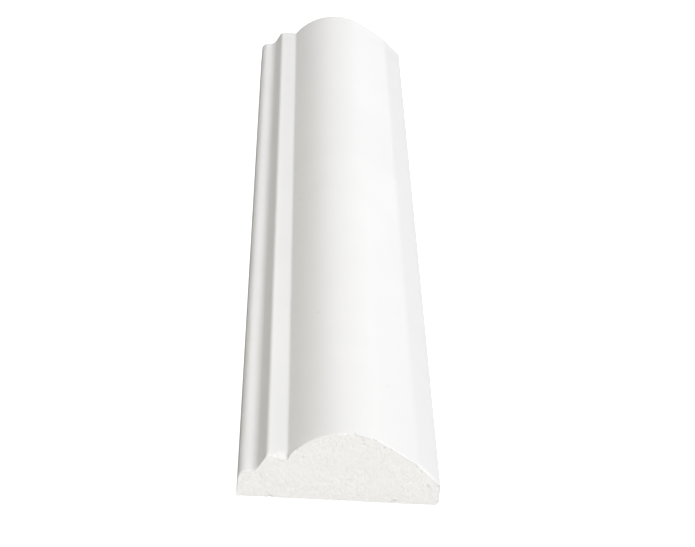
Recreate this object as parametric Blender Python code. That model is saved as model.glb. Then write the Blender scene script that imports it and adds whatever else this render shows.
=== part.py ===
"""A length of skirting board, moulded in one piece and lying on its flat back.

X runs across the board, from the bead at its left edge to the toe at its right edge.
Y runs along it, from the near cut end to the far one, and Z is up from the flat back.
The origin is at the middle of the back. Sizes are in metres.
"""

import math

import bmesh
import bpy
from mathutils import Matrix, Vector

# Whole board
BOARD_LENGTH = 0.350
BOARD_WIDTH = 0.060
CROWN_HEIGHT = 0.023

# Bead along the left edge: an edge that leans in a little, a quarter round, and a top that rises to its foot
BEAD_WIDTH = 0.0053
BEAD_EDGE_LEAN = 0.0003
BEAD_EDGE_HEIGHT = 0.0084
BEAD_FOOT_HEIGHT = 0.0089
BEAD_RADIUS = 0.0024

# Ridge: a hollow and a steep slope up from the bead, and a narrow top that falls a little to a dip
RIDGE_SLOPE_RUN = 0.0031
RIDGE_HEIGHT = 0.0145
RIDGE_TOP_WIDTH = 0.0061
RIDGE_TOP_FALL = 0.0003
RIDGE_RADIUS = 0.0012

# Crown: a round rise out of the dip, and a longer fall towards the toe
CROWN_RISE_ANGLE = math.radians(52)
CROWN_RISE_RADIUS = 0.021
CROWN_FALL_RUN = 0.0151
CROWN_FALL_RADIUS = 0.020

# Toe: the steeper strip that ends the crown at the right edge
TOE_WIDTH = 0.0070
TOE_HEIGHT = 0.0136
TOE_RADIUS = 0.013
RIGHT_EDGE_HEIGHT = 0.0069

# Radii of the hollow beside the bead and of the small moulded corners
HOLLOW_RADIUS = 0.0030
DIP_RADIUS = 0.0010
EDGE_RADIUS = 0.0006
LEFT_BACK_RADIUS = 0.0003
RIGHT_BACK_RADIUS = 0.0012

# How far a facet may cut inside its arc
FACET_SAG = 0.00001

WELD_DISTANCE = 0.000001
SMOOTH_BELOW = math.radians(30)


def profile_corners():
    """The sharp corners of the cross-section and the radius that rounds each one.

    They run clockwise as seen from the near end: up the left edge, over the board, down the right edge.
    """
    ridge_x = BEAD_WIDTH + RIDGE_SLOPE_RUN
    dip_x = ridge_x + RIDGE_TOP_WIDTH
    dip_z = RIDGE_HEIGHT - RIDGE_TOP_FALL
    rise_x = dip_x + (CROWN_HEIGHT - dip_z) / math.tan(CROWN_RISE_ANGLE)
    toe_x = BOARD_WIDTH - TOE_WIDTH
    fall_x = toe_x - CROWN_FALL_RUN
    return [
        ((0, 0), LEFT_BACK_RADIUS),
        ((BEAD_EDGE_LEAN, BEAD_EDGE_HEIGHT), BEAD_RADIUS),
        ((BEAD_WIDTH, BEAD_FOOT_HEIGHT), HOLLOW_RADIUS),
        ((ridge_x, RIDGE_HEIGHT), RIDGE_RADIUS),
        ((dip_x, dip_z), DIP_RADIUS),
        ((rise_x, CROWN_HEIGHT), CROWN_RISE_RADIUS),
        ((fall_x, CROWN_HEIGHT), CROWN_FALL_RADIUS),
        ((toe_x, TOE_HEIGHT), TOE_RADIUS),
        ((BOARD_WIDTH, RIGHT_EDGE_HEIGHT), EDGE_RADIUS),
        ((BOARD_WIDTH, 0), RIGHT_BACK_RADIUS),
    ]


def tangent_lengths(points, radii):
    """How far each corner's arc reaches along its two sides, limited where two arcs share a short side."""
    count = len(points)
    reach = []
    for i in range(count):
        before = (points[i - 1] - points[i]).normalized()
        after = (points[(i + 1) % count] - points[i]).normalized()
        reach.append(radii[i] / math.tan(before.angle(after) / 2))
    limit = []
    for i in range(count):
        side = (points[(i + 1) % count] - points[i]).length
        limit.append(min(1, side / (reach[i] + reach[(i + 1) % count])))
    return [reach[i] * min(limit[i - 1], limit[i]) for i in range(count)]


def corner_arc(corner, before, after, reach):
    """Points on the arc that is tangent to both sides of a corner at the given reach."""
    to_before = (before - corner).normalized()
    to_after = (after - corner).normalized()
    half_corner = to_before.angle(to_after) / 2
    radius = reach * math.tan(half_corner)
    centre = corner + (to_before + to_after).normalized() * radius / math.sin(half_corner)
    start = corner + to_before * reach - centre
    end = corner + to_after * reach - centre
    turn = start.angle_signed(end)
    facet_turn = 2 * math.acos(max(0, 1 - FACET_SAG / radius))
    steps = max(2, math.ceil(abs(turn) / facet_turn))
    return [centre + Matrix.Rotation(-turn * k / steps, 2) @ start for k in range(steps + 1)]


def profile_outline():
    """The rounded cross-section, centred on the board's width."""
    corners = profile_corners()
    points = [Vector(place) - Vector((BOARD_WIDTH / 2, 0)) for place, radius in corners]
    reaches = tangent_lengths(points, [radius for place, radius in corners])
    outline = []
    for i, reach in enumerate(reaches):
        outline += corner_arc(points[i], points[i - 1], points[(i + 1) % len(points)], reach)
    return outline


def moulded_length(name, outline, length):
    """A filled flat curve, extruded to the length of the board and stood on its back, as a mesh."""
    curve = bpy.data.curves.new(name, "CURVE")
    curve.dimensions = "2D"
    curve.fill_mode = "BOTH"
    curve.extrude = length / 2
    spline = curve.splines.new("POLY")
    spline.points.add(len(outline) - 1)
    spline.use_cyclic_u = True
    for point, place in zip(spline.points, outline):
        point.co = (place.x, place.y, 0, 1)
    flat = bpy.data.objects.new(name + "_outline", curve)
    bpy.context.collection.objects.link(flat)
    evaluated = flat.evaluated_get(bpy.context.evaluated_depsgraph_get())
    mesh = bpy.data.meshes.new_from_object(evaluated)
    bpy.data.objects.remove(flat)
    bpy.data.curves.remove(curve)
    upright = Matrix.Rotation(math.radians(90), 4, "X")
    solid = bmesh.new()
    solid.from_mesh(mesh)
    bmesh.ops.transform(solid, matrix=upright, verts=solid.verts)
    bmesh.ops.remove_doubles(solid, verts=solid.verts, dist=WELD_DISTANCE)
    bmesh.ops.recalc_face_normals(solid, faces=solid.faces)
    solid.to_mesh(mesh)
    solid.free()
    mesh.shade_smooth()
    mesh.set_sharp_from_angle(angle=SMOOTH_BELOW)
    mesh.name = name
    return mesh


def satin_white():
    """The smooth white coat that covers the moulded faces."""
    material = bpy.data.materials.new("satin white coat")
    material.use_nodes = True
    shader = material.node_tree.nodes["Principled BSDF"]
    shader.inputs["Base Color"].default_value = (0.86, 0.86, 0.85, 1)
    shader.inputs["Roughness"].default_value = 0.35
    shader.inputs["Metallic"].default_value = 0
    return material


def main():
    for thing in list(bpy.data.objects):
        bpy.data.objects.remove(thing)
    collection = bpy.data.collections.new("Skirting board")
    bpy.context.scene.collection.children.link(collection)
    mesh = moulded_length("skirting_board", profile_outline(), BOARD_LENGTH)
    mesh.materials.clear()
    mesh.materials.append(satin_white())
    board = bpy.data.objects.new("skirting_board", mesh)
    collection.objects.link(board)


main()
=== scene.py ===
# %% [markdown]
# # A length of skirting board, dressed for the camera
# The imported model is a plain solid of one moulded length: a bead, a small ridge, a broad crown and a toe,
# flat on its back. This lesson puts the looks on it: a smooth satin coat on the moulded faces, and pale
# foam with saw marks at the two cut ends and on the back. The solid is loaded as a fixed frame. Everything
# else is measured from it, so nothing has to be fitted by eye.

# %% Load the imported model
import math
from functools import reduce

import bmesh
import bpy
from mathutils import Matrix, Vector


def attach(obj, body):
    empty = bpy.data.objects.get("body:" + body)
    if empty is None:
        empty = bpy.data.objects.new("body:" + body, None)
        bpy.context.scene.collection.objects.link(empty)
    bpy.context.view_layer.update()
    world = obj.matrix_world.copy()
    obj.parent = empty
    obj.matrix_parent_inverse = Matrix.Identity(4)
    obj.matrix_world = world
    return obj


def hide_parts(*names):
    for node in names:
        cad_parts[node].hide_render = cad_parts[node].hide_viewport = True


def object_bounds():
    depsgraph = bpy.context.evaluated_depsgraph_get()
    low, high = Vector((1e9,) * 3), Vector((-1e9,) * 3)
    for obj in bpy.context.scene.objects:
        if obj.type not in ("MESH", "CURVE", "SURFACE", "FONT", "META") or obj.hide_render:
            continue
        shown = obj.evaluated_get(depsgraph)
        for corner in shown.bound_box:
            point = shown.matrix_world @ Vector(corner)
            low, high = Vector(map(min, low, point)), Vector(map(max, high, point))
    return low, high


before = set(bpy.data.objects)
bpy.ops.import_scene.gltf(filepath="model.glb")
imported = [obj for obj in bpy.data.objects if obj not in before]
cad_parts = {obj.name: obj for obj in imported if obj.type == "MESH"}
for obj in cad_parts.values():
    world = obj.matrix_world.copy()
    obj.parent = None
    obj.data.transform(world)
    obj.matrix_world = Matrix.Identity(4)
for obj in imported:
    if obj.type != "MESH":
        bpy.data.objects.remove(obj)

cad_low, cad_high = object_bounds()
print("solid from", tuple(round(v, 4) for v in cad_low), "to", tuple(round(v, 4) for v in cad_high))

# %% [markdown]
# ## Short words for building node trees
# Geometry Nodes and shader nodes are both trees of nodes with linked sockets. Built by hand they are
# dragged with the mouse. Built in a script, every link is a line of code, so a few helpers keep the trees
# short enough to read. The first ones add a node, feed its inputs, and start or place a group with named
# inputs and outputs.

# %% Helpers for nodes and groups
FLOAT, VECTOR, WHOLE = "NodeSocketFloat", "NodeSocketVector", "NodeSocketInt"
GEOMETRY, MATERIAL, OBJECT = "NodeSocketGeometry", "NodeSocketMaterial", "NodeSocketObject"


def feed(tree, made, key, value):
    """Links a socket to an input, or sets its plain value."""
    if isinstance(value, bpy.types.NodeSocket):
        tree.links.new(value, made.inputs[key])
    else:
        made.inputs[key].default_value = value


def add(tree, kind, inputs=None, **settings):
    """Adds a node with its settings, and feeds its inputs."""
    made = tree.nodes.new(kind)
    for name, value in settings.items():
        setattr(made, name, value)
    for key, value in (inputs or {}).items():
        feed(tree, made, key, value)
    return made


def start_group(name, kind, inputs, outputs):
    """A new node group with named inputs, each with its usual value, and named outputs."""
    tree = bpy.data.node_groups.new(name, kind)
    for label, socket_type, usual in inputs:
        socket = tree.interface.new_socket(label, in_out="INPUT", socket_type=socket_type)
        if usual is not None:
            socket.default_value = usual
    for label, socket_type in outputs:
        tree.interface.new_socket(label, in_out="OUTPUT", socket_type=socket_type)
    return tree, tree.nodes.new("NodeGroupInput").outputs, tree.nodes.new("NodeGroupOutput")


def placed(tree, group, **inputs):
    """Places a node group in a tree. An underscore in an input's name here stands for a space."""
    kind = tree.bl_idname.replace("Tree", "Group")
    named = {key.replace("_", " "): value for key, value in inputs.items()}
    return add(tree, kind, named, node_tree=group)


print("helpers for nodes and groups ready")

# %% [markdown]
# The next helpers do sums. Each one adds the nodes for its sum and gives back the socket with the result,
# so a formula in a tree reads almost as it would on paper.


# %% Helpers for sums
def sums(tree, operation, *values):
    """The result of one Math node."""
    return add(tree, "ShaderNodeMath", dict(enumerate(values)), operation=operation).outputs[0]


def plus(tree, *values):
    """The total of two or more values."""
    return reduce(lambda total, value: sums(tree, "ADD", total, value), values)


def minus(tree, first, second):
    """What is left of the first value without the second."""
    return sums(tree, "SUBTRACT", first, second)


def times(tree, *values):
    """The product of two or more values."""
    return reduce(lambda product, value: sums(tree, "MULTIPLY", product, value), values)


def over(tree, first, second):
    """The first value divided by the second."""
    return sums(tree, "DIVIDE", first, second)


def per_metre(tree, millimetres):
    """How many patches of this size go into a metre."""
    return over(tree, 1000.0, millimetres)


print("helpers for sums ready")


# %% Helpers for vectors, mixes and noise
# Where a Mix node has its first value, its second value and its result, for each kind of value
MIX_SOCKETS = {"FLOAT": (2, 3, 0), "VECTOR": (4, 5, 1), "RGBA": (6, 7, 2)}


def vectors(tree, operation, *values):
    """The result of one Vector Math node."""
    made = add(tree, "ShaderNodeVectorMath", dict(enumerate(values)), operation=operation)
    return made.outputs["Value" if operation in ("LENGTH", "DISTANCE", "DOT_PRODUCT") else "Vector"]


def scaled(tree, vector, size):
    """A vector, made longer or shorter."""
    return add(tree, "ShaderNodeVectorMath", {0: vector, 3: size}, operation="SCALE").outputs["Vector"]


def combined(tree, x=0.0, y=0.0, z=0.0):
    """A vector from its three parts."""
    return add(tree, "ShaderNodeCombineXYZ", {0: x, 1: y, 2: z}).outputs[0]


def mixed(tree, kind, share, first, second):
    """The first value where the share is 0, the second where it is 1."""
    a, b, result = MIX_SOCKETS[kind]
    return add(tree, "ShaderNodeMix", {0: share, a: first, b: second}, data_type=kind).outputs[result]


def ramp(tree, value, start, end, low=0.0, high=1.0):
    """A smooth step: low where value is at start, high where it is at end."""
    inputs = {0: value, 1: start, 2: end, 3: low, 4: high}
    return add(tree, "ShaderNodeMapRange", inputs, interpolation_type="SMOOTHSTEP").outputs[0]


def noise(tree, place, scale, detail=2.0, distortion=0.0):
    """Noise from 0 to 1. The scale is in patches to the metre."""
    inputs = {"Vector": place, "Scale": scale, "Detail": detail, "Distortion": distortion}
    return add(tree, "ShaderNodeTexNoise", inputs).outputs[0]


print("helpers for vectors, mixes and noise ready")

# %% [markdown]
# ## The cross-section, read from the solid
# A moulding is one outline drawn along a line. The outline could be typed again here from its sizes, but
# then two files would hold the same numbers and could drift apart. Instead it is read from the near end of
# the solid: the loop of edges there, from the left corner of the back, up over the bead, ridge and crown,
# and down to the right corner of the back. That path is what the coat covers. The straight edge left over
# is the bare back.

# %% Walk round the near end of the solid
SAME_PLACE = 0.000001  # points closer than this, in metres, are taken as one


def coated_path(solid):
    """The outline's points at the near end, in order from the left of the back to its right."""
    copy = bmesh.new()
    copy.from_mesh(solid.data)
    bmesh.ops.remove_doubles(copy, verts=copy.verts, dist=SAME_PLACE)
    near = min(v.co.y for v in copy.verts)
    ring = {}
    for edge in copy.edges:
        at_near = all(abs(v.co.y - near) < SAME_PLACE for v in edge.verts)
        on_side = any(abs(face.normal.y) < 0.5 for face in edge.link_faces)
        if at_near and on_side:
            for here, there in (edge.verts, reversed(edge.verts)):
                ring.setdefault(here, []).append(there)
    on_back = [v for v in ring if v.co.z < SAME_PLACE]
    left = min(on_back, key=lambda v: v.co.x)
    right = max(on_back, key=lambda v: v.co.x)
    path, came_from = [left], right
    while path[-1] is not right:
        onward = [v for v in ring[path[-1]] if v is not came_from]
        came_from = path[-1]
        path.append(onward[0])
    places = [Vector((v.co.x, 0, v.co.z)) for v in path]
    copy.free()
    return places


section = coated_path(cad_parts["skirting_board"])
path_length = sum((b - a).length for a, b in zip(section, section[1:]))
print(len(section), "points on the coated path,", round(path_length * 1000, 1), "mm round")

# %% [markdown]
# The path becomes an object of its own, a chain of edges. The Geometry Nodes below take it as their input,
# so the whole board stays one rule: this chain, drawn out along Y.


# %% The chain of edges that the board grows from
def new_object(name, data):
    """A new object in the scene."""
    made = bpy.data.objects.new(name, data)
    bpy.context.scene.collection.objects.link(made)
    return made


def chain(name, places):
    """An object that holds a row of points joined by edges."""
    mesh = bpy.data.meshes.new(name)
    mesh.from_pydata(places, [(i, i + 1) for i in range(len(places) - 1)], [])
    return new_object(name, mesh)


board = chain("moulded_board", section)
print("chain:", len(board.data.vertices), "points")

# %% [markdown]
# ## Groups that both finishes share
# The coat and the foam are different materials, but both have a fine grain, and both have picked up a
# little dust and wear. Each effect is one shader node group, built once. A material places the group and
# gives it its own values. The groups put out only masks and heights, and each material keeps its own
# Principled BSDF.

# %% Fine grain: small soft bumps at two sizes
MIDDLE = (0.38, 0.62)  # most of a noise lies between these two, so a ramp over them uses its full range
FINER_GRAIN = 3.7  # how many times finer the second noise is than the first


def build_fine_grain():
    """A group that puts out a grain's height, and the same grain as a mask from 0 to 1."""
    tree, given, out = start_group(
        "fine grain", "ShaderNodeTree",
        [("Place", VECTOR, None), ("Grain mm", FLOAT, 0.5), ("Stretch along", FLOAT, 1.0),
         ("Roughness", FLOAT, 0.5)],
        [("Height", FLOAT), ("Mask", FLOAT)],
    )
    squeeze = combined(tree, 1.0, over(tree, 1.0, given["Stretch along"]), 1.0)
    place = vectors(tree, "MULTIPLY", given["Place"], squeeze)
    patches = per_metre(tree, given["Grain mm"])
    broad = noise(tree, place, patches, 1.0)
    fine = noise(tree, place, times(tree, patches, FINER_GRAIN), 2.0)
    height = mixed(tree, "FLOAT", given["Roughness"], broad, fine)
    tree.links.new(height, out.inputs["Height"])
    tree.links.new(ramp(tree, height, *MIDDLE), out.inputs["Mask"])
    return tree


fine_grain = build_fine_grain()
print("group:", fine_grain.name)

# %% Handling marks: wide soft clouds and a few faint specks
CLOUD_EDGE = (0.35, 0.68)  # a cloud starts at the first noise value and is full at the second
SPECK_EDGE = (0.12, 0.05)  # a speck starts at the first distance from its middle and is full at the second


def build_handling():
    """A group that puts out two masks: the clouds and the specks."""
    tree, given, out = start_group(
        "handling marks", "ShaderNodeTree",
        [("Place", VECTOR, None), ("Cloud mm", FLOAT, 60.0), ("Speck mm", FLOAT, 4.0),
         ("Specks", FLOAT, 0.3)],
        [("Clouds", FLOAT), ("Specks", FLOAT)],
    )
    place = given["Place"]
    clouds = noise(tree, place, per_metre(tree, given["Cloud mm"]), detail=3.0, distortion=0.4)
    tree.links.new(ramp(tree, clouds, *CLOUD_EDGE), out.inputs["Clouds"])
    cells = add(tree, "ShaderNodeTexVoronoi", {"Vector": place, "Scale": per_metre(tree, given["Speck mm"])})
    draw = add(tree, "ShaderNodeSeparateColor", {0: cells.outputs["Color"]}).outputs[0]
    chosen = sums(tree, "LESS_THAN", draw, given["Specks"])
    spots = ramp(tree, cells.outputs["Distance"], *SPECK_EDGE)
    tree.links.new(times(tree, chosen, spots), out.inputs["Specks"])
    return tree


handling = build_handling()
print("group:", handling.name)

# %% [markdown]
# ## The satin coat
# On a board like this the coat is a thin white skin on the foam. It is smooth and a little glossy, with
# very faint lines along the length and small specks of dust under it. It could be one flat white, but then
# the long highlights would be too clean. The grain group, stretched along Y, gives the drawn lines, and the
# handling group varies the colour and the roughness in wide clouds.

# %% Material: satin white coat
COAT_WHITE = (0.805, 0.802, 0.794, 1)
COAT_SHADE = (0.790, 0.787, 0.778, 1)
SPECK = (0.74, 0.73, 0.70, 1)
COAT_ROUGHNESS = (0.40, 0.48)  # between the clouds and inside them
PEEL_ROUGHNESS = 0.03  # what the fine dimples add to it
DRAWN_SHARE = 0.6  # how high the drawn lines are beside the fine dimples


def start_material(name):
    """A new material, its node tree and its shader."""
    material = bpy.data.materials.new(name)
    material.use_nodes = True
    return material, material.node_tree, material.node_tree.nodes["Principled BSDF"]


def build_coat():
    """The smooth white skin of the moulded faces."""
    material, tree, shader = start_material("satin white coat")
    place = add(tree, "ShaderNodeTexCoord").outputs["Object"]
    drawn = placed(tree, fine_grain, Place=place, Grain_mm=0.9, Stretch_along=60.0, Roughness=0.35)
    peel = placed(tree, fine_grain, Place=place, Grain_mm=1.1, Stretch_along=2.0, Roughness=0.25)
    marks = placed(tree, handling, Place=place, Cloud_mm=45.0, Speck_mm=7.0, Specks=0.12)
    cloudy = mixed(tree, "RGBA", marks.outputs["Clouds"], COAT_WHITE, COAT_SHADE)
    feed(tree, shader, "Base Color", mixed(tree, "RGBA", marks.outputs["Specks"], cloudy, SPECK))
    worn = ramp(tree, marks.outputs["Clouds"], 0.0, 1.0, *COAT_ROUGHNESS)
    feed(tree, shader, "Roughness", plus(tree, worn, times(tree, peel.outputs["Mask"], PEEL_ROUGHNESS)))
    height = plus(tree, times(tree, drawn.outputs["Height"], DRAWN_SHARE), peel.outputs["Height"])
    bump = add(tree, "ShaderNodeBump", {"Strength": 0.35, "Distance": 0.00004, "Height": height})
    feed(tree, shader, "Normal", bump.outputs[0])
    shader.inputs["IOR"].default_value = 1.4
    shader.inputs["Specular IOR Level"].default_value = 0.25
    return material


satin_coat = build_coat()
print("material:", satin_coat.name)

# %% [markdown]
# ## The sawn foam
# Where the length is cut, the core shows: a warm off-white with short curled marks that the saw's teeth
# leave, and fine torn pores. The curls could be drawn one by one, but there are hundreds. A smooth noise,
# turned into bands by a sine wave, gives curved lines like the grain round a knot. A second noise breaks
# them into short pieces, and a third, wider one makes the marks stronger in some patches than in others.
# The same rule serves the colour and the bump: each mark's colour is darker where it is deeper, which is
# painted shade in its groove.

# %% Saw marks: short curled bands
STROKES = {"Swirl_mm": 2.9, "Bands": 4.4, "Broken": 0.48}
FINER_BREAKS = 3.8  # how many times finer the breaks are than the swirls
WIDER_PATCHES = 0.35  # how fine the strong and weak patches are beside the swirls
PATCH_STRENGTH = (0.6, 1.3)  # of the marks in the weakest patches and in the strongest
BREAK_EDGE = (0.06, 0.09)  # how far below and above the break point a mark fades


def build_saw_marks(name, kind):
    """The marks as heights from about -1 to 1, as a group for shaders or for Geometry Nodes."""
    tree, given, out = start_group(
        name, kind,
        [("Place", VECTOR, None), ("Swirl mm", FLOAT, 6.0), ("Bands", FLOAT, 7.0), ("Broken", FLOAT, 0.5)],
        [("Height", FLOAT)],
    )
    place, broken = given["Place"], given["Broken"]
    swirls = per_metre(tree, given["Swirl mm"])
    turns = times(tree, given["Bands"], 2 * math.pi)
    wave = sums(tree, "SINE", times(tree, noise(tree, place, swirls, 0.5, 0.3), turns))
    breaks = noise(tree, place, times(tree, swirls, FINER_BREAKS), 1.0)
    kept = ramp(tree, breaks, minus(tree, broken, BREAK_EDGE[0]), plus(tree, broken, BREAK_EDGE[1]))
    patches = noise(tree, place, times(tree, swirls, WIDER_PATCHES), 1.0)
    strength = ramp(tree, patches, *MIDDLE, *PATCH_STRENGTH)
    tree.links.new(times(tree, wave, kept, strength), out.inputs["Height"])
    return tree


saw_marks = build_saw_marks("saw marks", "ShaderNodeTree")
saw_relief = build_saw_marks("saw relief", "GeometryNodeTree")
print("groups:", saw_marks.name, "and", saw_relief.name)

# %% [markdown]
# The mesh will carry three masks as attributes: how much of a face is the sawn end, how much is a chip, and
# how much is a narrow pit. The foam's colour starts pale, and each mask or mark in turn mixes in its own
# tint: dust and painted shade in the chips, and painted shade in the narrow pits and the deep saw marks.

# %% Material: sawn foam
FOAM_PALE = (0.885, 0.877, 0.850, 1)
FOAM_WARM = (0.872, 0.863, 0.834, 1)
# painted shade for the deep parts of the saw marks
FOAM_GROOVE_SHADE = (0.826, 0.815, 0.782, 1)
# dust and painted shade for the chips
FOAM_TORN_DUST_AND_SHADE = (0.80, 0.79, 0.775, 1)
# painted shade for the narrow pits
FOAM_PIT_SHADE = (0.71, 0.695, 0.66, 1)
SPECK_STRENGTH = 0.6  # how much of a speck's own colour shows
PORE_RANGE = (0.3, 0.7)  # grain heights between which the roughness changes
FOAM_ROUGHNESS = (0.85, 0.95)  # at those two heights
PORE_SHARE = 0.8  # how deep the pores are beside the saw marks


def build_foam():
    """The bare core of the cut ends and of the back."""
    material, tree, shader = start_material("sawn foam")
    place = add(tree, "ShaderNodeTexCoord").outputs["Object"]

    def mask(name):
        """One of the masks that the mesh carries."""
        return add(tree, "ShaderNodeAttribute", attribute_name=name).outputs["Fac"]

    saw = placed(tree, saw_marks, Place=place, **STROKES)
    pores = placed(tree, fine_grain, Place=place, Grain_mm=0.45, Stretch_along=1.0, Roughness=0.5)
    marks = placed(tree, handling, Place=place, Cloud_mm=14.0, Speck_mm=1.9, Specks=0.3)
    stroke = times(tree, saw.outputs["Height"], mask("sawn"))
    tints = [
        (marks.outputs["Clouds"], FOAM_WARM),
        # painted shade: the saw marks darker where they are deeper
        (minus(tree, 0.5, times(tree, stroke, 0.5)), FOAM_GROOVE_SHADE),
        (times(tree, marks.outputs["Specks"], SPECK_STRENGTH), SPECK),
        # dust and painted shade in the chips
        (mask("chipped"), FOAM_TORN_DUST_AND_SHADE),
        # painted shade in the narrow pits
        (mask("pitted"), FOAM_PIT_SHADE),
    ]
    colour = FOAM_PALE
    for share, tint in tints:
        colour = mixed(tree, "RGBA", share, colour, tint)
    feed(tree, shader, "Base Color", colour)
    feed(tree, shader, "Roughness", ramp(tree, pores.outputs["Height"], *PORE_RANGE, *FOAM_ROUGHNESS))
    height = plus(tree, stroke, times(tree, pores.outputs["Height"], PORE_SHARE))
    bump = add(tree, "ShaderNodeBump", {"Strength": 0.45, "Distance": 0.00008, "Height": height})
    feed(tree, shader, "Normal", bump.outputs[0])
    shader.inputs["IOR"].default_value = 1.35
    shader.inputs["Specular IOR Level"].default_value = 0.25
    return material


sawn_foam = build_foam()
print("material:", sawn_foam.name)

# %% [markdown]
# ## The board as one rule
# On the real thing the outline is pressed or drawn along the whole length and then sawn. The same rule
# serves here. A grid is laid over the front path and drawn along Y, a second grid closes the back, and a
# third and a fourth fill the cut ends by ruling straight lines from the back up to the front path. Because
# all of them take their places from the same points, they meet exactly and weld into one closed skin. A
# single Curve to Mesh with filled ends would be shorter, but its end would be one flat face, with no points
# to carry saw marks.

# %% Group: a place on the front path and one on the back, for a given column
BY_PLACE = 0.85  # how much a back point follows the front point above it; its number gives the rest


def build_rails():
    """A group that gives each column of a grid its two places."""
    tree, given, out = start_group(
        "rails", "GeometryNodeTree",
        [("Front path", GEOMETRY, None), ("Column", WHOLE, 0), ("Columns", WHOLE, 300)],
        [("Front", VECTOR), ("Back", VECTOR)],
    )
    position = add(tree, "GeometryNodeInputPosition").outputs[0]
    last = minus(tree, given["Columns"], 1.0)

    def on_path(index):
        """The place of one point of the front path."""
        inputs = {0: given["Front path"], 1: position, 2: index}
        return add(tree, "GeometryNodeSampleIndex", inputs, data_type="FLOAT_VECTOR").outputs[0]

    here, start, end = on_path(given["Column"]), on_path(0), on_path(last)
    across = vectors(tree, "SUBTRACT", end, start)
    width = vectors(tree, "LENGTH", across)
    reached = vectors(tree, "DOT_PRODUCT", vectors(tree, "SUBTRACT", here, start), across)
    sideways = over(tree, reached, times(tree, width, width))
    by_place = sums(tree, "MINIMUM", sums(tree, "MAXIMUM", sideways, 0.0), 1.0)
    by_count = over(tree, given["Column"], last)
    share = plus(tree, times(tree, by_place, BY_PLACE), times(tree, by_count, 1 - BY_PLACE))
    tree.links.new(here, out.inputs["Front"])
    tree.links.new(mixed(tree, "VECTOR", share, start, end), out.inputs["Back"])
    return tree


rails = build_rails()
print("group:", rails.name)


# %% Group: a grid whose points know their column and row
def build_sheet():
    """A group that makes a grid and puts out each point's column and how far up it is."""
    tree, given, out = start_group(
        "numbered sheet", "GeometryNodeTree",
        [("Columns", WHOLE, 300), ("Rows", WHOLE, 60)],
        [("Sheet", GEOMETRY), ("Column", WHOLE), ("Share up", FLOAT)],
    )
    rows = given["Rows"]
    grid = add(tree, "GeometryNodeMeshGrid", {0: 1.0, 1: 1.0, 2: given["Columns"], 3: rows})
    index = plus(tree, add(tree, "GeometryNodeInputIndex").outputs[0], 0.5)
    column = sums(tree, "FLOOR", over(tree, index, rows))
    row = sums(tree, "FLOOR", minus(tree, index, times(tree, column, rows)))
    tree.links.new(grid.outputs["Mesh"], out.inputs["Sheet"])
    tree.links.new(column, out.inputs["Column"])
    tree.links.new(over(tree, row, minus(tree, rows, 1.0)), out.inputs["Share up"])
    return tree


sheet = build_sheet()
print("group:", sheet.name)

# %% [markdown]
# ## What the saw and years of handling left
# The cut is not flat. The teeth leave curls, the foam tears a little lower than the hard coat round it, and
# small pits open where a bubble was cut. One group adds all of that up as a depth. Every change pushes the
# surface inwards, so the board never grows past its cut size.

# %% Group: how far inwards each point of a cut end goes
FILM = 0.00028  # how thick the coat looks at a cut
FILM_EDGE = (0.8, 1.9)  # where the rough foam starts and where it is full, in film thicknesses
WAVES, PIT_CELLS, GRIT = 160.0, 420.0, 2600.0  # patches to the metre
PIT_SHARE = 0.24  # how many of the cells hold a pit
PIT_EDGE = (0.30, 0.10)  # a pit starts at the first distance from its middle and is full at the second


def build_cut_relief():
    """A group that puts out the depth of the saw marks, pits, grit and slow waves of a cut."""
    tree, given, out = start_group(
        "cut relief", "GeometryNodeTree",
        [("Place", VECTOR, None), ("Under coat", FLOAT, 0.0), ("Film", FLOAT, FILM),
         ("Curl depth", FLOAT, 0.000015), ("Wave depth", FLOAT, 0.00022), ("Pit depth", FLOAT, 0.00012),
         ("Grit depth", FLOAT, 0.00005), ("Rim step", FLOAT, 0.00005)],
        [("Depth", FLOAT)],
    )
    place, film = given["Place"], given["Film"]
    curls = placed(tree, saw_relief, Place=place, **STROKES).outputs["Height"]
    cells = add(tree, "ShaderNodeTexVoronoi", {"Vector": place, "Scale": PIT_CELLS})
    draw = add(tree, "ShaderNodeSeparateXYZ", {0: cells.outputs["Color"]}).outputs[0]
    chosen = sums(tree, "LESS_THAN", draw, PIT_SHARE)
    pits = times(tree, chosen, ramp(tree, cells.outputs["Distance"], *PIT_EDGE))
    rough = plus(
        tree,
        times(tree, minus(tree, 1.0, curls), given["Curl depth"]),
        times(tree, pits, given["Pit depth"]),
        times(tree, noise(tree, place, GRIT, 1.0), given["Grit depth"]),
        given["Rim step"],
    )
    inner = ramp(tree, given["Under coat"], *(times(tree, film, share) for share in FILM_EDGE))
    waves = times(tree, noise(tree, place, WAVES, 2.0), given["Wave depth"])
    tree.links.new(plus(tree, times(tree, rough, inner), waves), out.inputs["Depth"])
    return tree


cut_relief = build_cut_relief()
print("group:", cut_relief.name)
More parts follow.
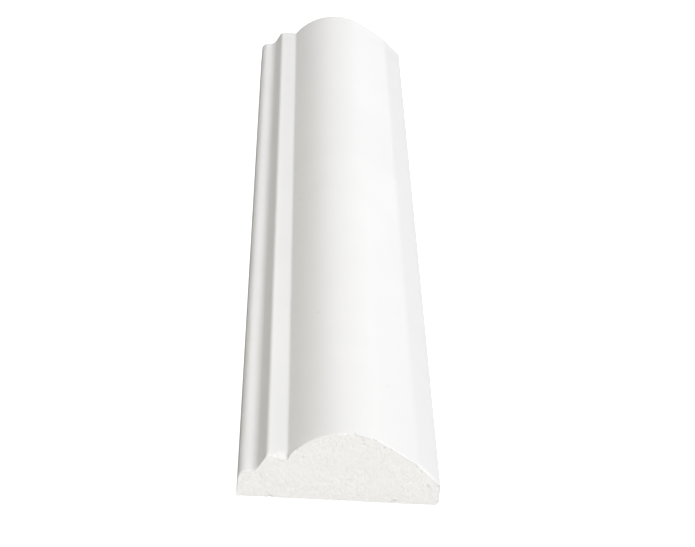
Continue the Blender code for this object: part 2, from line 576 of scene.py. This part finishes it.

# %% [markdown]
# The arris, the sharp edge between cut and coat, has a few chips, and some larger pits show in the cut.
# They are a short list of places and sizes. Each is held by one point, which carries as attributes its
# radius and two depths, one into the end and one into the side, so a new chip is one more line. A pit is a
# chip that is deep for its radius, and its colour is darkened as painted shade.

# %% The chips: place across, height, radius, depth into the end and depth into the side, in millimetres
NEAR, FAR = -1, 1
CHIPS = {
    NEAR: [
        (-20.4, 14.4, 1.3, 0.20, 0.50),
        (-19.2, 14.5, 1.9, 0.25, 1.00),
        (-18.0, 14.5, 2.1, 0.25, 1.30),
        (-16.9, 14.4, 2.1, 0.25, 1.30),
        (-13.0, 16.6, 0.7, 0.25, 0.20),
        (-11.3, 14.2, 0.5, 0.25, 0.00),
        (3.6, 22.9, 0.7, 0.60, 0.25),
        (1.0, 22.9, 0.6, 0.15, 0.08),
        (-0.6, 22.8, 0.6, 0.15, 0.06),
        (8.9, 21.7, 0.45, 0.40, 0.10),
        (9.8, 21.2, 0.40, 0.35, 0.10),
        (6.0, 20.9, 0.5, 0.35, 0.00),
        (6.3, 19.6, 0.5, 0.35, 0.00),
        (12.4, 18.9, 0.45, 0.50, 0.00),
        (14.2, 18.4, 0.5, 0.25, 0.00),
        (23.6, 13.3, 1.0, 0.10, 0.30),
        (24.8, 12.0, 1.0, 0.10, 0.30),
        (26.0, 10.8, 1.0, 0.10, 0.30),
        (27.1, 9.7, 1.0, 0.10, 0.30),
        (22.4, 12.7, 0.4, 0.22, 0.00),
        (23.9, 11.2, 0.4, 0.24, 0.00),
        (26.2, 6.3, 0.6, 0.36, 0.00),
        (29.6, 6.2, 0.8, 0.60, 0.10),
        (29.4, 0.8, 0.9, 0.20, 0.10),
        (-29.9, 6.6, 0.7, 0.20, 0.10),
        (-20.1, 0.2, 0.70, 0.60, 0.30),
        (16.2, 0.5, 0.65, 0.60, 0.30),
        (17.1, 0.8, 0.4, 0.45, 0.00),
    ],
    FAR: [
        (-21.0, 13.9, 1.2, 0.30, 0.40),
        (6.0, 23.0, 1.1, 0.20, 0.30),
        (26.0, 10.6, 1.3, 0.25, 0.35),
        (29.8, 2.0, 1.2, 0.30, 0.30),
    ],
}


def chip_points(chips, half_length):
    """A cloud of points, each with the radius and the two depths of its chip."""
    rows = [(end * half_length, chip) for end, chips_there in chips.items() for chip in chips_there]
    mesh = bpy.data.meshes.new("chips")
    mesh.from_pydata([(chip[0] / 1000, y, chip[1] / 1000) for y, chip in rows], [], [])
    for column, name in enumerate(("radius", "into_end", "into_side"), start=2):
        values = mesh.attributes.new(name, "FLOAT", "POINT")
        values.data.foreach_set("value", [chip[column] / 1000 for y, chip in rows])
    return new_object("chips", mesh)


chips = chip_points(CHIPS, cad_high.y)
print(len(chips.data.vertices), "chips")

# %% [markdown]
# ## The whole board
# The tree for the board joins the pieces of the rule. It is long, so its steps are written as functions
# first, each of which adds its own nodes to the tree. The first steps lay the skin: front, back and two
# ends, welded. Rings of points stand close together near the cuts, where the chips are, and far apart in
# the middle, where the board is plain.


# %% Steps: an even path and the welded skin
def even_path(tree, edges, columns):
    """The chain of edges as a smooth curve with evenly spaced points."""
    path = add(tree, "GeometryNodeMeshToCurve", {0: edges}).outputs[0]
    path = add(tree, "GeometryNodeCurveSplineType", {0: path}, spline_type="BEZIER").outputs[0]
    path = add(tree, "GeometryNodeCurveSetHandles", {0: path}, handle_type="AUTO").outputs[0]
    return add(tree, "GeometryNodeResampleCurve", {0: path, 2: columns}, mode="COUNT").outputs[0]


def along(tree, share, half):
    """Y for a ring of points: close together at the ends, far apart in the middle."""
    signed = minus(tree, times(tree, share, 2.0), 1.0)
    left = minus(tree, 1.0, sums(tree, "ABSOLUTE", signed))
    eased = minus(tree, 1.0, times(tree, left, left))
    return combined(tree, y=times(tree, eased, sums(tree, "SIGN", signed), half))


def welded_skin(tree, given, path, half):
    """Front, back and two cut ends, each a numbered sheet put in its place, welded into one closed skin."""
    columns = given["Columns"]
    joined = add(tree, "GeometryNodeJoinGeometry")

    def lay(rows, where):
        """Puts a numbered sheet where its rails and its share up say."""
        numbered = placed(tree, sheet, Columns=columns, Rows=rows)
        pair = placed(tree, rails, Front_path=path, Column=numbered.outputs["Column"], Columns=columns)
        place = where(pair.outputs["Front"], pair.outputs["Back"], numbered.outputs["Share up"])
        laid = add(tree, "GeometryNodeSetPosition", {0: numbered.outputs["Sheet"], 2: place}).outputs[0]
        tree.links.new(laid, joined.inputs[0])

    def at_end(front, back, share, side):
        """A place on a cut end, on the line from the back up to the front path."""
        offset = combined(tree, y=times(tree, half, side))
        return vectors(tree, "ADD", mixed(tree, "VECTOR", share, back, front), offset)

    lay(given["Rings"], lambda front, back, share: vectors(tree, "ADD", front, along(tree, share, half)))
    lay(given["Rings"], lambda front, back, share: vectors(tree, "ADD", back, along(tree, share, half)))
    lay(given["Rows"], lambda front, back, share: at_end(front, back, share, -1.0))
    lay(given["Rows"], lambda front, back, share: at_end(front, back, share, 1.0))
    return add(tree, "GeometryNodeMergeByDistance", {0: joined.outputs[0], 2: given["Weld"]}).outputs[0]


print("steps for the skin ready")

# %% [markdown]
# The later steps need to know, for each point, how far under the coat it lies, whether it is on a sawn end
# and how much it is chipped. These values are stored on the mesh under names, because they have to stay as
# they were before any point is moved, and because the foam's material reads them too.

# %% Steps: stored masks, and the chip nearest to each point
CUT_REACH = 0.00002  # points closer than this to an end plane belong to the cut
RAGGED = (0.65, 0.7, 900.0)  # least stretch of a distance, what noise adds, patches to the metre
CHIP_EDGE = (1.0, 0.45)  # in radii from its point: where a chip starts and where it is at its full depth
NARROW = (0.5, 0.9)  # a chip starts to count as a pit at the first depth over radius and is one at the second


def stored(tree, mesh, **values):
    """Stores values on the points of a mesh under their names."""
    for name, value in values.items():
        inputs = {0: mesh, 2: name, 3: value}
        kind = {"data_type": "FLOAT", "domain": "POINT"}
        mesh = add(tree, "GeometryNodeStoreNamedAttribute", inputs, **kind).outputs[0]
    return mesh


def recalled(tree, name):
    """Reads a stored value."""
    return add(tree, "GeometryNodeInputNamedAttribute", {0: name}, data_type="FLOAT").outputs[0]


def nearest_chip(tree, given):
    """A function that reads any value of the chip nearest to each point."""
    points = add(tree, "GeometryNodeObjectInfo", {0: given["Chips"]}).outputs["Geometry"]
    nearest = add(tree, "GeometryNodeSampleNearest", {0: points}, domain="POINT").outputs[0]

    def of_chip(value, kind="FLOAT"):
        """A value of the nearest chip: a plain socket, or the name of a stored value."""
        source = recalled(tree, value) if isinstance(value, str) else value
        inputs = {0: points, 1: source, 2: nearest}
        return add(tree, "GeometryNodeSampleIndex", inputs, data_type=kind).outputs[0]

    return of_chip


def chip_masks(tree, position, of_chip):
    """How much each point belongs to a chip, and how much to a narrow pit, which the foam darkens as painted
    shade.
    """
    least, more, patches = RAGGED
    ragged = plus(tree, least, times(tree, noise(tree, position, patches, 2.0), more))
    distance = times(tree, vectors(tree, "DISTANCE", position, of_chip(position, "FLOAT_VECTOR")), ragged)
    chipped = ramp(tree, over(tree, distance, of_chip("radius")), *CHIP_EDGE)
    narrow = ramp(tree, over(tree, of_chip("into_end"), of_chip("radius")), *NARROW)
    return chipped, times(tree, chipped, narrow)


print("steps for masks and chips ready")

# %% [markdown]
# Three things push a point inwards: the relief of the cut, a chip, and the wear of the arris. The relief
# and a chip's first depth push straight into the end. The relief fades out a few millimetres along the
# board, so that the coat follows the wavy cut without a step. A chip's second depth pushes towards the heart
# of the board. The wear does both, each on its own side of the arris.

# %% Steps: the three pushes
HEART = (0.9, 0.004)  # side pushes aim at this share of a point's own X, and at this height
SIDE_REACH = (0.0002, 2.6)  # how far under the coat a chip's side push reaches: at least, plus in side depths
COAT_SKIN = 0.00002  # points closer than this to the outside are on the coat's surface
WEAR_PATCHES = 150.0  # to the metre
WEAR_NOISE = (0.35, 0.65)  # noise values between which the wear changes
WEAR_WIDTH = (0.5, 1.3)  # how wide the wear is at those two values, in arris widths
WEAR_DEPTH = 0.3  # how deep the wear goes at the edge itself, in its own widths


def wear(tree, distance, reach):
    """How far a point sinks with the worn edge: most at the edge itself, nothing past the reach."""
    near = minus(tree, 1.0, sums(tree, "MINIMUM", over(tree, distance, reach), 1.0))
    return times(tree, times(tree, near, near), times(tree, reach, WEAR_DEPTH))


def inward_push(tree, given, position, flat, half, of_chip):
    """How far and which way each point moves."""
    x, y, z = add(tree, "ShaderNodeSeparateXYZ", {0: position}).outputs
    chipped, under_coat = recalled(tree, "chipped"), recalled(tree, "under_coat")
    inwards = times(tree, sums(tree, "SIGN", y), -1.0)
    from_cut = minus(tree, half, sums(tree, "ABSOLUTE", y))

    relief = placed(tree, cut_relief, Place=position, Under_coat=under_coat, Film=given["Film"])
    faded = times(tree, relief.outputs["Depth"], ramp(tree, from_cut, given["Follow"], 0.0))
    bitten = times(tree, chipped, of_chip("into_end"))
    into_end = combined(tree, y=times(tree, inwards, plus(tree, faded, bitten)))

    share, height = HEART
    heart = combined(tree, x=times(tree, x, share), z=height)
    towards = vectors(tree, "NORMALIZE", vectors(tree, "SUBTRACT", heart, flat))
    least, depths = SIDE_REACH
    reach = plus(tree, least, times(tree, of_chip("into_side"), depths))
    sunk = times(tree, chipped, of_chip("into_side"), ramp(tree, under_coat, reach, 0.0))

    patches = noise(tree, position, WEAR_PATCHES, 1.0)
    worn = times(tree, given["Arris"], ramp(tree, patches, *WEAR_NOISE, *WEAR_WIDTH))
    on_coat = ramp(tree, under_coat, COAT_SKIN, 0.0)
    worn_side = scaled(tree, towards, times(tree, wear(tree, from_cut, worn), on_coat))
    worn_end = times(tree, inwards, times(tree, wear(tree, under_coat, worn), recalled(tree, "sawn")))
    worn_edge = vectors(tree, "ADD", worn_side, combined(tree, y=worn_end))
    return vectors(tree, "ADD", vectors(tree, "ADD", scaled(tree, towards, sunk), into_end), worn_edge)


print("steps for the pushes ready")

# %% [markdown]
# The last steps make everything real and give each face its material: foam wherever a face is further under
# the outside than the coat is thick, or is in the heart of a chip, and coat elsewhere. The edge of the film
# is a little uneven, as a sawn skin is.

# %% Step: which faces are foam
FILM_UNEVEN = (0.0004, 700.0)  # how much the film's thickness varies in all, and patches to the metre
TORN_FROM = 0.6  # how chipped a face is where the coat is gone


def finished_faces(tree, given, mesh, position):
    """The mesh made real, with coat on its outside and foam where it is bare."""
    real = add(tree, "GeometryNodeRealizeInstances", {0: mesh}).outputs[0]
    coated = add(tree, "GeometryNodeSetMaterial", {0: real, 2: given["Coat"]}).outputs[0]
    size, patches = FILM_UNEVEN
    uneven = times(tree, minus(tree, noise(tree, position, patches, 2.0), 0.5), size)
    bare = sums(tree, "GREATER_THAN", plus(tree, recalled(tree, "under_coat"), uneven), given["Film"])
    torn = sums(tree, "GREATER_THAN", recalled(tree, "chipped"), TORN_FROM)
    foam = sums(tree, "MAXIMUM", bare, torn)
    return add(tree, "GeometryNodeSetMaterial", {0: coated, 1: foam, 2: given["Foam"]}).outputs[0]


print("step for the finishes ready")


# %% Tree: the moulded length
def build_length_tree():
    """The tree that grows the whole board from the chain of edges."""
    tree, given, out = start_group(
        "moulded length", "GeometryNodeTree",
        [("Geometry", GEOMETRY, None), ("Length", FLOAT, 0.35), ("Columns", WHOLE, 320), ("Rings", WHOLE, 61),
         ("Rows", WHOLE, 72), ("Film", FLOAT, FILM), ("Arris", FLOAT, 0.00035), ("Follow", FLOAT, 0.003),
         ("Weld", FLOAT, 0.000002), ("Low corner", VECTOR, None), ("High corner", VECTOR, None),
         ("Chips", OBJECT, None), ("Coat", MATERIAL, None), ("Foam", MATERIAL, None)],
        [("Geometry", GEOMETRY)],
    )
    half = times(tree, given["Length"], 0.5)
    path = even_path(tree, given["Geometry"], given["Columns"])
    skin = welded_skin(tree, given, path, half)

    position = add(tree, "GeometryNodeInputPosition").outputs[0]
    x, y, z = add(tree, "ShaderNodeSeparateXYZ", {0: position}).outputs
    flat = combined(tree, x=x, z=z)
    rim = add(tree, "GeometryNodeCurveToMesh", {0: path}).outputs[0]
    near_rim = add(tree, "GeometryNodeProximity", {0: rim, 2: flat}, target_element="EDGES")
    sawn = ramp(tree, sums(tree, "ABSOLUTE", y), minus(tree, half, CUT_REACH), half)
    marked = stored(tree, skin, under_coat=near_rim.outputs["Distance"], sawn=sawn)
    of_chip = nearest_chip(tree, given)
    chipped, pitted = chip_masks(tree, position, of_chip)
    # the second mask marks narrow pits, which the foam darkens as painted shade
    marked = stored(tree, marked, chipped=chipped, pitted=pitted)

    push = inward_push(tree, given, position, flat, half, of_chip)
    pressed = add(tree, "GeometryNodeSetPosition", {0: marked, 3: push}).outputs[0]
    boxed = vectors(tree, "MAXIMUM", position, given["Low corner"])
    boxed = vectors(tree, "MINIMUM", boxed, given["High corner"])
    pressed = add(tree, "GeometryNodeSetPosition", {0: pressed, 2: boxed}).outputs[0]
    tree.links.new(finished_faces(tree, given, pressed, position), out.inputs["Geometry"])
    return tree


length_tree = build_length_tree()
print("tree:", length_tree.name, "with", len(length_tree.nodes), "nodes")

# %% [markdown]
# The tree runs once. Its result becomes the object's plain mesh, and the modifier goes, because the frame
# takes finished meshes only. Then the faces are turned outwards, and the open edges are counted: there
# should be none.

# %% Make the board
SHARP_FROM = math.radians(50)  # edges that turn more than this stay sharp


def made_real(thing, tree, values):
    """Runs a tree on an object and keeps the result as its plain mesh."""
    modifier = thing.modifiers.new(tree.name, "NODES")
    modifier.node_group = tree
    for item in tree.interface.items_tree:
        if item.in_out == "INPUT" and item.name in values:
            modifier[item.identifier] = values[item.name]
    thing.update_tag()
    evaluated = thing.evaluated_get(bpy.context.evaluated_depsgraph_get())
    mesh = bpy.data.meshes.new_from_object(evaluated)
    thing.modifiers.remove(modifier)
    thing.data = mesh
    mesh.name = thing.name
    for slot in reversed(range(len(mesh.materials))):
        if mesh.materials[slot] is None:
            mesh.materials.pop(index=slot)
    return mesh


def tidy_mesh(mesh, sharp_from):
    """Turns every face outwards and shades it smoothly up to an angle. Measures the skin."""
    shape = bmesh.new()
    shape.from_mesh(mesh)
    bmesh.ops.remove_doubles(shape, verts=shape.verts, dist=SAME_PLACE)
    bmesh.ops.recalc_face_normals(shape, faces=shape.faces)
    open_edges = sum(1 for edge in shape.edges if len(edge.link_faces) != 2)
    volume = shape.calc_volume(signed=True)
    shape.to_mesh(mesh)
    shape.free()
    mesh.shade_smooth()
    mesh.set_sharp_from_angle(angle=sharp_from)
    return open_edges, volume


length_values = {
    "Length": cad_high.y - cad_low.y, "Low corner": cad_low, "High corner": cad_high,
    "Chips": chips, "Coat": satin_coat, "Foam": sawn_foam,
}
mesh = made_real(board, length_tree, length_values)
open_edges, volume = tidy_mesh(mesh, SHARP_FROM)
triangles = sum(len(face.vertices) - 2 for face in mesh.polygons)
print("board:", triangles, "triangles,", open_edges, "open edges,", round(volume * 1e6, 1), "cubic cm")
print("finishes:", [material.name for material in mesh.materials])

# %% [markdown]
# ## Hand the pieces to the frame
# The board rides on the one body of the model and stands for its solid, which stays hidden for collision.
# The chip points were only a list of places, so they go.

# %% Pieces
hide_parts("skirting_board")
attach(board, "root")
bpy.data.objects.remove(chips)
print("piece:", board.name)

# %% [markdown]
# ## Floor, light and camera
# In the photograph the board lies on plain white and throws no shadow that can be seen. A floor lit as
# brightly as that would throw its light back on the board. So floor and wall glow for the camera alone, and
# the floor is grey for every other ray.

# %% Floor
FLOOR_GREY = (0.35, 0.35, 0.35, 1)
FLOOR_GLOW = 0.97  # how bright the floor looks to the camera
FLOOR_REACH = 4.0  # from the middle to each side
FLOOR_DROP = 0.0003  # how far the floor lies under the back, so that the two never share a plane


def for_camera_only(tree, strength):
    """A strength that only rays straight from the camera see."""
    return times(tree, add(tree, "ShaderNodeLightPath").outputs["Is Camera Ray"], strength)


def build_floor():
    """A wide flat square under the board."""
    material, tree, shader = start_material("pale floor")
    shader.inputs["Base Color"].default_value = FLOOR_GREY
    shader.inputs["Roughness"].default_value = 0.9
    shader.inputs["Specular IOR Level"].default_value = 0.0
    shader.inputs["Emission Color"].default_value = (1.0, 1.0, 1.0, 1)
    feed(tree, shader, "Emission Strength", for_camera_only(tree, FLOOR_GLOW))
    square = ((-1, -1), (1, -1), (1, 1), (-1, 1))
    corners = [(x * FLOOR_REACH, y * FLOOR_REACH, -FLOOR_DROP) for x, y in square]
    mesh = bpy.data.meshes.new("floor")
    mesh.from_pydata(corners, [], [(0, 1, 2, 3)])
    mesh.materials.append(material)
    return new_object("floor", mesh)


floor = build_floor()
print("floor:", floor.name)

# %% [markdown]
# The light is soft and comes from all round. It is strongest from above, behind, in front and the right,
# and weakest from the left, so that the fall of the crown is brightest and the faces that look left are in
# soft shade. Two small lights low behind the board on the right lay the long bright streak on the crown.

# %% Lights: place, width and height in metres, power in watts, and colour
LIGHTS = {
    "overhead": ((0.0, 0.0, 2.0), 1.2, 1.0, 20.9, (0.985, 1.0, 0.96)),
    "back_high": ((0.0, 1.5, 1.5), 1.2, 1.0, 18.7, (0.94, 0.925, 1.0)),
    "front_right": ((1.2, -1.2, 1.0), 1.2, 1.0, 5.9, (0.985, 1.0, 0.875)),
    "front_low": ((0.0, -1.8, 0.5), 1.2, 1.0, 24.7, (0.985, 0.975, 1.0)),
    "left_low": ((-1.8, 0.0, 0.4), 1.2, 1.0, 2.6, (1.0, 0.82, 0.4)),
    "right_low": ((1.8, 0.0, 0.5), 1.2, 1.0, 14.1, (0.945, 0.94, 1.0)),
    "streak_low": ((0.65, 1.85, 0.55), 0.5, 0.35, 1.1, (0.99, 1.0, 0.83)),
    "streak_high": ((1.0, 1.7, 0.6), 0.5, 0.35, 3.1, (0.815, 0.84, 1.0)),
}
LIGHT_AIM = Vector((0, 0, 0))


def looking(place, aim):
    """The turn that points the -Z of a light or a camera from its place to its aim."""
    return (aim - place).to_track_quat("-Z", "Y").to_matrix()


def soft_light(name, place, width, height, power, colour):
    """A wide area light that faces the board."""
    lamp = bpy.data.lights.new(name, "AREA")
    lamp.shape = "RECTANGLE"
    lamp.size, lamp.size_y = width, height
    lamp.energy = power
    lamp.color = colour
    made = new_object(name, lamp)
    made.matrix_world = Matrix.Translation(place) @ looking(Vector(place), LIGHT_AIM).to_4x4()
    return made


lights = [soft_light(name, *row) for name, row in LIGHTS.items()]
print("lights:", [light.name for light in lights])

# %% Wall
WALL_GLOW = 0.98  # how bright the wall, which is the world behind everything, looks to the camera

world = bpy.data.worlds.new("studio")
bpy.context.scene.world = world
world.use_nodes = True
background = world.node_tree.nodes["Background"]
background.inputs["Color"].default_value = (1.0, 1.0, 1.0, 1)
feed(world.node_tree, background, "Strength", for_camera_only(world.node_tree, WALL_GLOW))
bpy.context.scene.view_settings.view_transform = "Standard"
print("wall glows at", WALL_GLOW)

# %% [markdown]
# The camera looks down the length from above the near end, a little to its left, with a long lens. Its
# place, aim and roll come from fitting one camera to the outlines of the two ends and to the long edges.

# %% Camera
CAMERA_PLACE = Vector((-0.0281, -0.7161, 0.3491))
CAMERA_AIM = Vector((0.00392, -0.0499, 0.0120))
CAMERA_ROLL = math.radians(4.3)
LENS = 112.4

eye = bpy.data.cameras.new("camera")
eye.sensor_width = 36
eye.lens = LENS
camera = new_object("camera", eye)
turned = looking(CAMERA_PLACE, CAMERA_AIM) @ Matrix.Rotation(CAMERA_ROLL, 3, "Z")
camera.matrix_world = Matrix.Translation(CAMERA_PLACE) @ turned.to_4x4()
bpy.context.scene.camera = camera
print("camera at", tuple(round(v, 3) for v in CAMERA_PLACE), "with a lens of", LENS, "mm")
